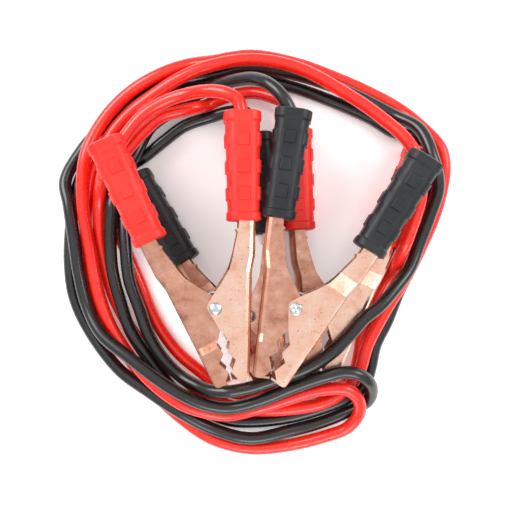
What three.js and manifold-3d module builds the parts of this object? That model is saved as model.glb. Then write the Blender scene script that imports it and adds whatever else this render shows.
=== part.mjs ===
// A set of booster cables: one red and one black cable wound together in a loose coil,
// with a spring clamp of copper-plated pressed steel on each of the four cable ends.
// Units are millimetres and +Z is up. Two clamps lie on the ground and two lie over them.
import * as THREE from 'three';
import { mergeVertices } from 'three/addons/utils/BufferGeometryUtils.js';
import Module from 'manifold-3d';

const wasm = await Module();
wasm.setup();

// Driving dimensions of the pressed arms
const sheet = 1.1;
const bendRadius = 3.2;
const jawWidth = 22;
const channelWidth = 16;
const fitGap = 0.3;
const armSpread = 14;
const jawWeb = 19;
const handleWeb = 20.75;
const handleEndWeb = 20.2;
const noseReach = 38;
const noseRadius = 2.2;
const handleReach = 88;
const rampStart = 20;
const rampEnd = 29;
const joggleStart = 15;
const joggleEnd = 19;
const handleFlangeEdge = 11.5;
const noseToothPitch = 4;
const noseToothDepth = 1.3;

// Driving dimensions of the rivet and the torsion spring
const rivetRadius = 2.4;
const domeRadius = 3.4;
const domeHeight = 1.8;
const clinchRadius = 2.9;
const clinchHeight = 1.2;
const dimpleRadius = 1.4;
const dimpleDepth = 0.7;
const rivetSegments = 14;
const springWire = 1.6;
const springRadius = 8;
const springTurns = 3;
const springPitch = 2.1;
const springLegReach = 23;
const springSteps = 52;

// Driving dimensions of the moulded grips
const gripStart = 46.8;
const gripLength = 59;
const gripAxisOffset = 14.5;
const gripTaperTurn = 2;
const gripMouthHalfWidth = 8.4;
const gripTopHalfWidth = 9.3;
const gripHalfThickness = 9.9;
const gripCornerRadius = 5.5;
const rimProud = 0.8;
const mouthRimLength = 5;
const topRimLength = 6;
const rimEdge = 0.9;

// Driving dimensions of the cables
const cableDiameter = 7.4;
const cableSides = 8;
const cableInset = 15;

// How far a cutting shape runs past the face that it cuts
const cutPast = 1;

// Where the four clamps lie: pivot place, lean in the plane of the ground, and the small
// pitch and roll that each takes from what it rests on. A turned clamp lies on its other side.
const rimHalfThickness = gripHalfThickness + rimProud;
const restReach = 100;
function restPitch(height) {
  return -THREE.MathUtils.radToDeg(Math.asin((height - rimHalfThickness) / restReach));
}
const clinchRest = {
  z: jawWidth / 2 + clinchHeight,
  pitch: restPitch(jawWidth / 2 + clinchHeight),
  roll: 0,
};
const domeRest = {
  z: jawWidth / 2 + domeHeight,
  pitch: restPitch(jawWidth / 2 + domeHeight),
  roll: 0,
};
const clampPlaces = {
  front_red: { x: -22.2, y: -27.7, z: 46, lean: 12.7, pitch: 1.5, roll: 5, turned: false },
  front_black: { x: 21.5, y: -27.9, z: 46, lean: -20.2, pitch: 1, roll: -2.5, turned: true },
  rear_black: { ...clinchRest, x: -3.3, y: -34.7, lean: 19.3, turned: false },
  rear_red: { ...domeRest, x: 43.5, y: -30.5, lean: -9.6, turned: true },
};

// Colours
const redPlastic = '#f0342a';
const blackPlastic = '#2b2e31';
const copperPlate = '#d99b80';
const zincSteel = '#c9ced4';
const redJacket = '#f0220f';
const blackJacket = '#151517';

const radians = THREE.MathUtils.degToRad;

// A closed solid for cutting and joining, from any closed three.js geometry
function solidOf(geometry) {
  const bare = geometry.clone();
  bare.deleteAttribute('normal');
  bare.deleteAttribute('uv');
  const merged = mergeVertices(bare, 1e-4);
  return new wasm.Manifold(new wasm.Mesh({
    numProp: 3,
    vertProperties: new Float32Array(merged.attributes.position.array),
    triVerts: new Uint32Array(merged.index.array),
  }));
}

// The three.js geometry of a cut or joined solid
function geometryOf(solid) {
  const mesh = solid.getMesh();
  const geometry = new THREE.BufferGeometry();
  geometry.setAttribute('position', new THREE.BufferAttribute(mesh.vertProperties, 3));
  geometry.setIndex(new THREE.BufferAttribute(mesh.triVerts, 1));
  geometry.computeVertexNormals();
  return geometry;
}

// A closed solid skin through rings of points, all with the same count of points
function loft(rings) {
  const count = rings[0].length;
  const positions = rings.flat().flatMap((point) => point.toArray());
  const faces = [];
  for (let ring = 0; ring < rings.length - 1; ring += 1) {
    for (let side = 0; side < count; side += 1) {
      const next = (side + 1) % count;
      const low = ring * count;
      const high = low + count;
      faces.push(low + side, low + next, high + next);
      faces.push(low + side, high + next, high + side);
    }
  }
  const last = (rings.length - 1) * count;
  for (let side = 1; side < count - 1; side += 1) {
    faces.push(0, side + 1, side);
    faces.push(last, last + side, last + side + 1);
  }
  const geometry = new THREE.BufferGeometry();
  geometry.setAttribute('position', new THREE.Float32BufferAttribute(positions, 3));
  geometry.setIndex(faces);
  return geometry;
}

// Points of a quarter turn from one heading to the next about a centre
function quarter(centreU, centreW, radius, startDegrees, segments) {
  return Array.from({ length: segments + 1 }, (_, step) => {
    const angle = radians(startDegrees + (90 * step) / segments);
    return [centreU + radius * Math.cos(angle), centreW + radius * Math.sin(angle)];
  });
}

// An arm's own frame: u runs outward to the web, v runs from the rivet towards the handle
// end, and w runs along the rivet. One section of the bent sheet's outside at a given v.
const openSide = -8;
const bendSegments = 3;
function channelRing(v, web, low, high, radius, edge) {
  const lower = quarter(web - radius, low + radius, radius, -90, bendSegments);
  const upper = quarter(web - radius, high - radius, radius, 0, bendSegments);
  const outline = [[edge, low], ...lower, ...upper, [edge, high]];
  return outline.map(([u, w]) => new THREE.Vector3(u, v, w)).reverse();
}

// The stations of the bent sheet: v, web, and the two flange levels. One flange stays flat.
// The other steps in by one sheet about the rivet, so that it passes inside its partner's.
const halfJaw = jawWidth / 2;
const halfChannel = channelWidth / 2;
const joggled = halfJaw - sheet - fitGap;
const stations = [
  [-noseReach, jawWeb, -halfJaw, halfJaw],
  [-joggleEnd, jawWeb, -halfJaw, halfJaw],
  [-joggleStart, jawWeb, -joggled, halfJaw],
  [rampStart, jawWeb, -joggled, halfJaw],
  [rampEnd, handleWeb, -halfChannel, halfChannel],
  [gripStart, handleWeb, -halfChannel, halfChannel],
  [handleReach, handleEndWeb, -halfChannel, halfChannel],
];

function armSheet() {
  const outside = loft(stations.map(([v, web, low, high]) =>
    channelRing(v, web, low, high, bendRadius, openSide)));
  const insideStations = stations.map(([v, web, low, high]) =>
    [v, web - sheet, low + sheet, high - sheet]);
  insideStations[0][0] += sheet;
  insideStations.at(-1)[0] += cutPast;
  const inside = loft(insideStations.map(([v, web, low, high]) =>
    channelRing(v, web, low, high, bendRadius - sheet, openSide - cutPast)));
  return solidOf(outside).subtract(solidOf(inside));
}

// Corners (u, v) of the flanges' cut edge: two barbs that hold the grip, measured from the
// flange's edge and the grip's mouth, the ear that carries the rivet, and the jaw's two teeth
const barbCorners = [[0, -3.6], [-1.3, -4.6], [-0.4, -6.2]];
const earCorners = [
  [8.3, 26.1], [7, 21.4], [2.9, 14], [-1.8, 6.8], [-4.2, 2.4], [-4.6, 0.4], [-3.5, -1.8],
];
const jawCorners = [[2.2, -10.5], [7.9, -17.3], [7, -23.1], [11.3, -26.6], [9.1, -33.1]];
const noseWallCorner = 12.6;

// The nose wall's inner face stays clear of its partner's across the closed jaw.
const noseWallEdge = noseReach * Math.tan(radians(armSpread)) + fitGap;

// The cut edge of the flanges seen along the rivet, from the handle's end to the nose
function armOutline() {
  const beyond = handleWeb + 4 * cutPast;
  const wallTop = sheet - noseReach;
  const nose = quarter(jawWeb - noseRadius, noseRadius - noseReach, noseRadius, -90, 3);
  const corners = [
    [beyond, handleReach + cutPast],
    [handleFlangeEdge, handleReach + cutPast],
    ...barbCorners.map(([u, v]) => [handleFlangeEdge + u, gripStart + v]),
    ...earCorners,
    ...jawCorners,
    [noseWallCorner, wallTop],
    [noseWallEdge, wallTop],
    [noseWallEdge, -noseReach - cutPast],
    [jawWeb - noseRadius, -noseReach - cutPast],
    ...nose,
    [beyond, noseRadius - noseReach],
  ];
  const shape = new THREE.Shape(corners.map(([u, v]) => new THREE.Vector2(u, v)));
  const depth = jawWidth + 4 * cutPast;
  const outline = new THREE.ExtrudeGeometry(shape, { depth, bevelEnabled: false });
  return outline.translate(0, 0, -depth / 2);
}

// The small teeth along the cut edge of the nose wall
function noseTeeth() {
  const shape = new THREE.Shape();
  const tip = noseWallEdge - 0.01;
  const reach = halfJaw + cutPast;
  shape.moveTo(0, -reach);
  for (let w = -halfJaw + sheet + noseToothPitch / 2; w < halfJaw - sheet; w += noseToothPitch) {
    shape.lineTo(tip, w - noseToothPitch / 2);
    shape.lineTo(tip + noseToothDepth, w);
    shape.lineTo(tip, w + noseToothPitch / 2);
  }
  shape.lineTo(0, reach);
  shape.closePath();
  const depth = sheet + 2 * cutPast;
  const teeth = new THREE.ExtrudeGeometry(shape, { depth, bevelEnabled: false });
  return teeth.rotateX(Math.PI / 2).translate(0, sheet + cutPast - noseReach, 0);
}

function rivetHole() {
  const radius = rivetRadius + fitGap;
  const length = jawWidth + 4 * cutPast;
  return new THREE.CylinderGeometry(radius, radius, length, 20).rotateX(Math.PI / 2);
}

function armGeometry() {
  const cut = armSheet().intersect(solidOf(armOutline()));
  return geometryOf(cut.subtract(solidOf(rivetHole())).subtract(solidOf(noseTeeth())));
}

// A grip's own frame: its axis starts at the mouth and turns a little inward from the web.
function gripPoint(across, along, through) {
  const turn = radians(gripTaperTurn);
  const u = gripAxisOffset + across * Math.cos(turn) - along * Math.sin(turn);
  const v = gripStart + across * Math.sin(turn) + along * Math.cos(turn);
  return new THREE.Vector3(u, v, through);
}

function gripRing(along, halfWidth, halfThickness, radius) {
  const a = halfWidth - radius;
  const b = halfThickness - radius;
  const outline = [
    ...quarter(a, b, radius, 0, 3),
    ...quarter(-a, b, radius, 90, 3),
    ...quarter(-a, -b, radius, 180, 3),
    ...quarter(a, -b, radius, 270, 3),
  ];
  return outline.map(([across, through]) => gripPoint(across, along, through)).reverse();
}

function gripBody() {
  const halfWidthAt = (along) =>
    gripMouthHalfWidth + ((gripTopHalfWidth - gripMouthHalfWidth) * along) / gripLength;
  const ring = (along, proud) => gripRing(
    along,
    halfWidthAt(along) + proud,
    gripHalfThickness + proud,
    gripCornerRadius + proud,
  );
  const topRimStart = gripLength - topRimLength;
  return loft([
    ring(0, 0),
    ring(rimEdge, rimProud),
    ring(mouthRimLength - rimEdge / 3, rimProud),
    ring(mouthRimLength, 0),
    ring(topRimStart, 0),
    ring(topRimStart + rimEdge / 3, rimProud),
    ring(gripLength - 2 * rimEdge, rimProud),
    ring(gripLength, -rimEdge),
  ]);
}

// The pocket that the steel handle fills
function gripPocket() {
  const grow = (v, web) => channelRing(
    v,
    web + fitGap,
    -halfChannel - fitGap,
    halfChannel + fitGap,
    bendRadius + fitGap,
    handleFlangeEdge - fitGap,
  );
  const slope = (handleEndWeb - handleWeb) / (handleReach - gripStart);
  return loft([
    grow(gripStart - 4, handleWeb - 4 * slope),
    grow(gripStart, handleWeb),
    grow(handleReach + fitGap, handleEndWeb + fitGap * slope),
  ]);
}

function gripSolid() {
  return solidOf(gripBody()).subtract(solidOf(gripPocket()));
}

// The rivet: a domed head, a shank through both arms, and a rolled end with a dimple
function rivetGeometry() {
  const seat = halfJaw + fitGap;
  const lip = clinchRadius + fitGap;
  const dome = quarter(0, 0, 1, 0, 4).slice(1, -1);
  const profile = [
    [0, dimpleDepth - halfJaw - clinchHeight],
    [dimpleRadius, -halfJaw - clinchHeight],
    [clinchRadius - clinchHeight / 2, -halfJaw - clinchHeight],
    [lip, -halfJaw - clinchHeight / 2],
    [lip, -seat],
    [rivetRadius, -seat],
    [rivetRadius, seat],
    [domeRadius, seat],
    ...dome.map(([across, up]) => [domeRadius * across, seat + (domeHeight - fitGap) * up]),
    [0, halfJaw + domeHeight],
  ];
  const outline = profile.map(([radius, height]) => new THREE.Vector2(radius, height));
  return new THREE.LatheGeometry(outline, rivetSegments).rotateX(Math.PI / 2);
}

// The torsion spring: a coil about the rivet whose two legs run straight off it to press on
// the webs of the two arms
function springGeometry() {
  const spread = radians(armSpread);
  const legWeb = jawWeb - sheet - springWire / 2 - fitGap;
  const tipX = legWeb * Math.cos(spread) + springLegReach * Math.sin(spread);
  const tipY = -legWeb * Math.sin(spread) + springLegReach * Math.cos(spread);
  const start = Math.atan2(tipY, tipX) - Math.acos(springRadius / Math.hypot(tipX, tipY));
  const sweep = springTurns * 2 * Math.PI + Math.PI + 2 * start;
  const height = (springPitch * sweep) / (2 * Math.PI);
  const stepCount = springTurns * 10;
  const points = [new THREE.Vector3(tipX, tipY, -height / 2)];
  for (let step = 0; step <= stepCount; step += 1) {
    const angle = start - (sweep * step) / stepCount;
    const level = -height / 2 + (height * step) / stepCount;
    const x = springRadius * Math.cos(angle);
    points.push(new THREE.Vector3(x, springRadius * Math.sin(angle), level));
  }
  points.push(new THREE.Vector3(-tipX, tipY, height / 2));
  const path = new THREE.CatmullRomCurve3(points, false, 'centripetal');
  const section = new THREE.Shape().absarc(0, 0, springWire / 2, 0, 2 * Math.PI);
  return new THREE.ExtrudeGeometry(section, {
    steps: springSteps,
    curveSegments: 3,
    extrudePath: path,
    bevelEnabled: false,
  });
}

function material(colour, roughness, metalness) {
  return new THREE.MeshStandardMaterial({ color: colour, roughness, metalness });
}

function named(name, geometry, finish) {
  const mesh = new THREE.Mesh(geometry, finish);
  mesh.name = name;
  return mesh;
}

// A clamp's own frame: the rivet is its z axis and the handles point along +y.
function clampFrame(place) {
  const frame = new THREE.Group();
  frame.position.set(place.x, place.y, place.z);
  frame.rotation.set(radians(place.pitch), radians(place.roll), radians(place.lean), 'ZXY');
  const side = new THREE.Group();
  side.rotation.y = place.turned ? Math.PI : 0;
  frame.add(side);
  return { frame, side };
}

// A point on the cable grip's axis, in the coil's frame
function exitPoint(name, along) {
  const { frame, side } = clampFrame(clampPlaces[name]);
  frame.updateMatrixWorld(true);
  const point = gripPoint(0, along, 0);
  point.applyAxisAngle(new THREE.Vector3(0, 0, 1), -radians(armSpread));
  return point.applyMatrix4(side.matrixWorld);
}

// The cables' routes, as points chosen along the coil from one grip to the other
const redRoute = [
  [-9.5, 84, 45], [-16.5, 88.5, 44], [-26.5, 90.5, 40], [-38, 90.5, 33], [-51, 87, 30],
  [-63.5, 79.5, 29.5], [-74.5, 66.5, 29], [-79.5, 57.5, 29], [-86.5, 47, 26], [-89.5, 41.5, 20],
  [-92, 33, 13], [-93, 12.5, 7], [-90.5, -5.5, 4], [-85.5, -23.5, 4], [-75.5, -42.5, 4],
  [-63.5, -57.5, 4], [-46, -71.5, 4], [-33.5, -81, 4], [-18.5, -88.5, 5.5], [-0.5, -91, 9.5],
  [20, -90, 12], [39, -86.5, 12], [51, -80, 12], [60, -69.5, 12], [65.5, -52.5, 12],
  [75.5, -33, 12], [88.5, -11.5, 12.3], [97.5, 6.5, 12], [105, 24, 12], [109.5, 40.5, 12],
  [110.5, 53.5, 13], [108, 63.5, 13.5], [99.5, 74.5, 10.5], [86.5, 87.5, 4], [65.5, 99, 4],
  [44.5, 108, 4], [25, 115, 4], [-2.5, 120, 4], [-24.5, 117, 4], [-40, 112.5, 12],
  [-56, 106.5, 14], [-74, 96, 13], [-89.5, 79.5, 13.5], [-99, 58.5, 16.5], [-101.5, 32.5, 14.5],
  [-98, 6.5, 12], [-93, -20, 12], [-86.5, -39, 12], [-77, -55, 12.5], [-62.5, -71.5, 17],
  [-44, -85.5, 17.5], [-29.5, -91, 16], [-16, -93, 14.5], [-0.5, -89, 17.5], [19.5, -82.5, 19],
  [32, -78, 21.5], [42.5, -76, 23.5], [51, -76, 24], [57.5, -80.5, 21.5], [60.5, -88, 16.5],
  [59, -95.5, 12], [53, -102.5, 8.5], [43, -106.5, 7.5], [20.5, -113, 4.5], [-3.5, -115, 4],
  [-26, -109.5, 4], [-45.5, -96.5, 4], [-63.5, -79, 4], [-79.5, -56.5, 4], [-91.5, -39.5, 4],
  [-99, -17, 4], [-101.5, 9.5, 4], [-102, 24.5, 4], [-100, 36, 5], [-97.5, 47.5, 8.2],
  [-87, 68, 13], [-75, 82.5, 14], [-61.5, 92.5, 16], [-47, 101.5, 18], [-29.5, 109, 19],
  [-2.5, 113.5, 19], [24, 108.5, 20], [51, 94, 21], [71, 79.5, 24], [86.5, 63.5, 29],
  [93, 48.5, 29.5], [93, 33, 28.5], [89, 19, 27.5], [85, 7.5, 27], [82, -3.5, 18.5],
  [78.5, -14, 10], [74, -24.5, 5], [68.5, -36.5, 4], [63.5, -49, 4], [61, -63, 4],
  [57, -74.5, 4], [45, -80, 4], [26.5, -82, 4], [11.5, -81.5, 4], [-1, -83.5, 4], [-19, -80, 4],
  [-33.5, -69, 4], [-45, -59.5, 4], [-54.5, -48, 4], [-62.5, -34, 4], [-69, -17.5, 4],
  [-78, 3.5, 4], [-85.5, 21.5, 4], [-91.5, 35, 4], [-90.5, 44, 8.6], [-88, 50, 15.3],
  [-79, 55.5, 20.5], [-72, 63.5, 20.5], [-64, 72.5, 20], [-54.5, 80.5, 19.5], [-41, 84.5, 18],
  [-34.5, 86.5, 15.5], [-28.5, 89.5, 9], [-21.5, 93, 7.5], [-3.5, 97.5, 5], [9.5, 94, 9],
  [19, 88, 12],
];

const blackRoute = [
  [14.5, 85.5, 47], [7.5, 93, 44], [-0.5, 98, 37], [-10, 99.5, 29], [-21, 99, 20],
  [-28.5, 96.5, 16], [-34.5, 95, 12.5], [-41, 90.5, 6], [-54, 84, 4.5], [-63, 76.5, 6],
  [-69, 64.5, 10], [-72.5, 57.5, 11.5], [-77, 51, 12], [-82, 46, 11.7], [-83.5, 39, 12.2],
  [-84, 30, 15], [-85, 21, 14], [-85.5, 12.5, 13], [-84.5, -8, 12], [-80, -26, 12],
  [-74, -43.5, 12], [-66, -56.5, 12], [-56.5, -70, 10.5], [-43.5, -85.5, 4.5], [-30.5, -93, 4],
  [-15.5, -98.5, 4], [2, -99, 4], [20.5, -96.5, 4], [38.5, -91.5, 4], [54, -85.5, 4],
  [64.5, -78.5, 4], [68.5, -67, 4], [71.5, -53.5, 4], [78.5, -39, 4], [85.5, -21.5, 4],
  [94, -5, 4], [100.5, 9.5, 4], [103.5, 26.5, 4], [106, 38.5, 4], [111, 49, 4], [111, 57, 4],
  [105, 66, 4], [94.5, 71.5, 4], [82, 74.5, 4], [68.5, 82.5, 4], [44.5, 93, 4], [20.5, 101.5, 4],
  [-3.5, 106.5, 4], [-27.5, 102, 4], [-51.5, 95.5, 4], [-68.5, 85.5, 4], [-84.5, 72.5, 4],
  [-98.5, 57.5, 4], [-106.5, 43, 4], [-109.5, 30.5, 4], [-111, 14.5, 4], [-111.5, -3.5, 4],
  [-109, -23.5, 4], [-100.5, -42.5, 5], [-81, -67, 9.5], [-62.5, -80, 12], [-44.5, -92, 11.7],
  [-25.5, -102.5, 9], [-3.5, -108, 9], [20.5, -104, 6.5], [39.5, -99.5, 4.2], [53.5, -94, 4.5],
  [62, -89.5, 6.5], [66.5, -84.5, 11], [67, -77.5, 18], [64, -71.5, 24.5], [58, -67, 28.5],
  [50, -65.5, 29.5], [39, -68, 29.5], [19.5, -75.5, 25.5], [2.5, -82.5, 24.5],
  [-15.5, -87, 22.5], [-29, -85, 23.5], [-43.5, -78.5, 24.5], [-57.5, -69.5, 24.5],
  [-72.5, -58.5, 22], [-89.5, -45.5, 17.5], [-99, -29.5, 13], [-104, -11, 12], [-107, 9.5, 12],
  [-110, 30, 12], [-113, 44.5, 8.5], [-104.5, 63, 4], [-91, 78.5, 4], [-75.5, 91.5, 4],
  [-57, 100.5, 8], [-41, 104.5, 9.7], [-24, 107, 10.3], [-3.5, 111.5, 11], [26, 106, 12],
  [52.5, 97, 12], [80.5, 83, 12], [94, 73, 21], [100.5, 55.5, 26.5], [104, 39.5, 24.5],
  [100, 23.5, 21.5], [94, 6.5, 19.5], [88.5, -7, 21], [78.5, -19.5, 25], [70, -28.5, 27.5],
  [61, -35.5, 28.7], [54, -43.5, 29], [44.5, -53, 29.3], [35, -60, 29], [25, -65, 28.5],
  [10.5, -70, 28.3], [-3.5, -74.5, 28.3], [-14.5, -76.5, 28.3], [-24.5, -77, 25], [-34, -75, 19],
  [-44.5, -70, 14], [-54.5, -60, 13.5], [-62.5, -47, 13], [-68.5, -31, 12], [-74.5, -14, 12],
  [-77, 9.5, 12], [-78.5, 24, 10], [-84, 38.5, 4.2], [-82.5, 46, 4], [-78, 52, 4], [-66, 60, 4],
  [-55.5, 68.5, 4], [-42.5, 78, 4], [-27.5, 83, 4.5], [-15.5, 85.5, 8], [-6, 84.5, 11],
];

function cablePath(route, firstClamp, lastClamp) {
  const depths = [gripLength - cableInset, gripLength - cableInset / 3];
  const first = depths.map((along) => exitPoint(firstClamp, along));
  const last = depths.map((along) => exitPoint(lastClamp, along)).reverse();
  const free = route.map(([x, y, z]) => new THREE.Vector3(x, y, z));
  const path = new THREE.CatmullRomCurve3([...first, ...free, ...last], false, 'centripetal');
  // The tube has one ring at each chosen point, so it is finest where the points are closest.
  path.getUtoTmapping = (share) => share;
  return path;
}

function cableGeometry(path, radius, steps) {
  const section = new THREE.Shape().absarc(0, 0, radius, 0, 2 * Math.PI);
  return new THREE.ExtrudeGeometry(section, {
    steps,
    curveSegments: cableSides / 2,
    extrudePath: path,
    bevelEnabled: false,
  });
}

// The whole set
const coil = new THREE.Group();
const clamps = new THREE.Group();
coil.add(clamps);

const armShape = armGeometry();
const closedGrip = gripSolid();
const gripShape = geometryOf(closedGrip);
const rivetShape = rivetGeometry();
const springShape = springGeometry();
const redPath = cablePath(redRoute, 'front_red', 'rear_red');
const blackPath = cablePath(blackRoute, 'front_black', 'rear_black');

// The grip of a cable arm is bored along the cable that enters it.
function boredGrip(name, path) {
  const { frame, side } = clampFrame(clampPlaces[name]);
  frame.updateMatrixWorld(true);
  const arm = new THREE.Group();
  arm.rotation.z = -radians(armSpread);
  side.add(arm);
  arm.updateMatrixWorld(true);
  const toArm = arm.matrixWorld.clone().invert();
  const boreRadius = cableDiameter / 2 + fitGap;
  const bend = cableGeometry(path, boreRadius, path.points.length - 1).applyMatrix4(toArm);
  const stubStart = gripPoint(0, handleReach - gripStart - cutPast, 0);
  const stubEnd = gripPoint(0, gripLength - cableInset + 2 * cutPast, 0);
  const stub = cableGeometry(new THREE.LineCurve3(stubStart, stubEnd), boreRadius, 1);
  return geometryOf(closedGrip.subtract(solidOf(bend)).subtract(solidOf(stub)));
}

function addClamp(name, path) {
  const { frame, side } = clampFrame(clampPlaces[name]);
  const isRed = name.endsWith('red');
  const plastic = material(isRed ? redPlastic : blackPlastic, 0.55, 0);
  const copper = material(copperPlate, 0.35, 0.9);
  const steel = material(zincSteel, 0.3, 1);
  const cableArm = new THREE.Group();
  cableArm.rotation.z = -radians(armSpread);
  cableArm.add(named(`${name}_cable_arm`, armShape, copper));
  cableArm.add(named(`${name}_cable_grip`, boredGrip(name, path), plastic));
  const freeArm = new THREE.Group();
  freeArm.rotation.set(0, Math.PI, radians(armSpread), 'ZYX');
  freeArm.add(named(`${name}_free_arm`, armShape, copper));
  freeArm.add(named(`${name}_free_grip`, gripShape, plastic));
  side.add(cableArm, freeArm);
  side.add(named(`${name}_rivet`, rivetShape, steel));
  side.add(named(`${name}_spring`, springShape, steel));
  clamps.add(frame);
}

addClamp('front_red', redPath);
addClamp('front_black', blackPath);
addClamp('rear_black', blackPath);
addClamp('rear_red', redPath);

function addCable(name, path, colour) {
  const geometry = cableGeometry(path, cableDiameter / 2, path.points.length - 1);
  coil.add(named(name, geometry, material(colour, 0.3, 0)));
}

addCable('red_cable', redPath, redJacket);
addCable('black_cable', blackPath, blackJacket);

// The origin is on the ground below the middle of the four clamps.
coil.updateMatrixWorld(true);
const reach = new THREE.Box3().expandByObject(clamps, true);
const middle = reach.getCenter(new THREE.Vector3());
coil.position.set(-middle.x, -middle.y, -reach.min.z);

export default coil;
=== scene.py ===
# %% [markdown]
# # Booster cable set
# A red and a black cable wound together in a loose coil, with a sprung clamp of copper-plated
# steel on each of the four cable ends. The finished pieces are in metres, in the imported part's
# frame, and the sizes of a clamp are given in millimetres.

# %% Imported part
import math

import bpy
import numpy as np
from mathutils import Matrix, Vector


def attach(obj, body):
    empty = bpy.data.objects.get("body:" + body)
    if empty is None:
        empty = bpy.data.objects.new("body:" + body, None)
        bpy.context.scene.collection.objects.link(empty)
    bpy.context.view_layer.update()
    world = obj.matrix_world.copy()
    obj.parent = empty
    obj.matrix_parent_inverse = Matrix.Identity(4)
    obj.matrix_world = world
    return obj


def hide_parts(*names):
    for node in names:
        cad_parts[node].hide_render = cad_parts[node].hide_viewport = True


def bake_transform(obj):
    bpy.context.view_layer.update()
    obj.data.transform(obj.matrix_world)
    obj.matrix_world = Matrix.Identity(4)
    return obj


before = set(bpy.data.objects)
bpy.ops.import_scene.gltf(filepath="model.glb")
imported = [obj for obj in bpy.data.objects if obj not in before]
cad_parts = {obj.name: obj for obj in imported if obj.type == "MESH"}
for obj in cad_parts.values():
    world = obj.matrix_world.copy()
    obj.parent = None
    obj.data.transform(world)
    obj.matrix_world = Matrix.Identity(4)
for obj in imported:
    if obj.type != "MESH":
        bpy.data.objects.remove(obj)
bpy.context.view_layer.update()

# %% [markdown]
# ## Camera
# The photo was taken from straight above. The camera stands over the coil's middle, 430 mm up,
# with a lens of 50 mm on a 36 mm sensor. The layout was drawn round the point under the camera,
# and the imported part's origin lies elsewhere, so the layout's points are shifted by that much.

# %% Camera over the coil
layout_shift = np.array([-0.0082645, -0.0018082, 0.0000331])
camera_height = 0.43
camera_data = bpy.data.cameras.new("camera")
camera_data.lens = 49.99
camera_data.sensor_width = 36
camera_data.clip_start = 0.01
camera = bpy.data.objects.new("camera", camera_data)
camera.location = Vector(layout_shift) + Vector((0, 0, camera_height))
bpy.context.scene.collection.objects.link(camera)
bpy.context.scene.camera = camera
print("camera at", tuple(round(v, 4) for v in camera.location))

# %% [markdown]
# ## Closed skins
# Cables, springs, rivets and grips are all skins through rings of points, with the same count in
# each ring. The two ends are closed with a fan to their middle. Faces point outward when a ring
# runs anticlockwise, seen from the side that the rings run towards. A grid of points worked out
# by a formula is used rather than modelling by hand, so that a size can change in one place.

# %% Mesh object
def link_mesh(name, vertices, faces, finish, smooth_angle=35):
    """A mesh object at the origin, smooth where its faces meet at less than an angle."""
    mesh = bpy.data.meshes.new(name)
    mesh.from_pydata(np.asarray(vertices, float).tolist(), [], faces)
    mesh.materials.append(finish)
    mesh.shade_smooth()
    mesh.set_sharp_from_angle(angle=math.radians(smooth_angle))
    obj = bpy.data.objects.new(name, mesh)
    bpy.context.scene.collection.objects.link(obj)
    return obj


def ring_skin(rings):
    """Vertices and faces of a closed skin: quads between rings i and i + 1, a fan at each end."""
    rings = np.asarray(rings, float)
    count, sides = rings.shape[:2]
    middles = [rings[0].mean(axis=0), rings[-1].mean(axis=0)]
    vertices = np.concatenate([rings.reshape(-1, 3), middles])
    ring, side = np.meshgrid(np.arange(count - 1), np.arange(sides), indexing="ij")
    low = ring * sides + side
    low_next = ring * sides + (side + 1) % sides
    quads = np.stack([low, low_next, low_next + sides, low + sides], -1).reshape(-1, 4)
    turn = np.arange(sides)
    turn_next = (turn + 1) % sides
    first_middle, last_ring = np.full(sides, count * sides), (count - 1) * sides
    first_fan = np.stack([first_middle, turn_next, turn], -1)
    last_fan = np.stack([first_middle + 1, last_ring + turn, last_ring + turn_next], -1)
    return vertices, quads.tolist() + first_fan.tolist() + last_fan.tolist()


print("skin of two rings of four:", len(ring_skin(np.zeros((2, 4, 3)))[1]), "faces")

# %% [markdown]
# ## Round tubes
# A cable or a wire is a circle carried along a path. The circle's own axes are carried from one
# point to the next without twist, so that the streaks of light run straight along the cable.

# %% Tube along a path
def tube_rings(path, radius, sides):
    """Rings p(i) + radius (cos t u(i) + sin t v(i)), with u, v carried along without twist."""
    path = np.asarray(path, float)
    tangent = np.gradient(path, axis=0)
    tangent /= np.linalg.norm(tangent, axis=1)[:, None]
    across = np.cross(tangent[0], [0.0, 0.0, 1.0])
    if np.linalg.norm(across) < 0.1:
        across = np.cross(tangent[0], [1.0, 0.0, 0.0])
    angle = np.arange(sides) * 2 * np.pi / sides
    rings = []
    for point, along in zip(path, tangent):
        across = across - along * (across @ along)
        across /= np.linalg.norm(across)
        other = np.cross(along, across)
        circle = np.cos(angle)[:, None] * across + np.sin(angle)[:, None] * other
        rings.append(point + radius * circle)
    return np.array(rings)


print("tube of two rings:", tube_rings([(0, 0, 0), (1, 0, 0)], 0.5, 8).shape)

# %% [markdown]
# ## Smooth paths
# The curve passes through every chosen point. Its knots are spaced by the square root of the
# points' distances, which keeps it from looping where two points lie close together.

# %% Curve through points
def smooth_path(points, step):
    """Centripetal Catmull-Rom curve through points, in even steps of arc length."""
    p = np.asarray(points, float)
    p = np.concatenate([[2 * p[0] - p[1]], p, [2 * p[-1] - p[-2]]])[:, None]
    gap = np.linalg.norm(np.diff(p, axis=0), axis=2, keepdims=True) ** 0.5
    k0 = np.zeros_like(gap[:-2])
    k1 = gap[:-2]
    k2 = k1 + gap[1:-1]
    k3 = k2 + gap[2:]
    per_span = 24
    t = k1 + (k2 - k1) * (np.arange(per_span) / per_span)[None, :, None]

    def between(a, b, low, high):
        """((high - t) a + (t - low) b) / (high - low), a blend by where t lies."""
        return ((high - t) * a + (t - low) * b) / (high - low)

    first = between(p[:-3], p[1:-2], k0, k1)
    middle = between(p[1:-2], p[2:-1], k1, k2)
    last = between(p[2:-1], p[3:], k2, k3)
    curve = between(between(first, middle, k0, k2), between(middle, last, k1, k3), k1, k2)
    curve = np.concatenate([curve.reshape(-1, 3), p[-2]])
    reach = np.concatenate([[0], np.cumsum(np.linalg.norm(np.diff(curve, axis=0), axis=1))])
    even = np.linspace(0, reach[-1], int(reach[-1] / step) + 1)
    return np.stack([np.interp(even, reach, curve[:, axis]) for axis in range(3)], -1)


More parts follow.
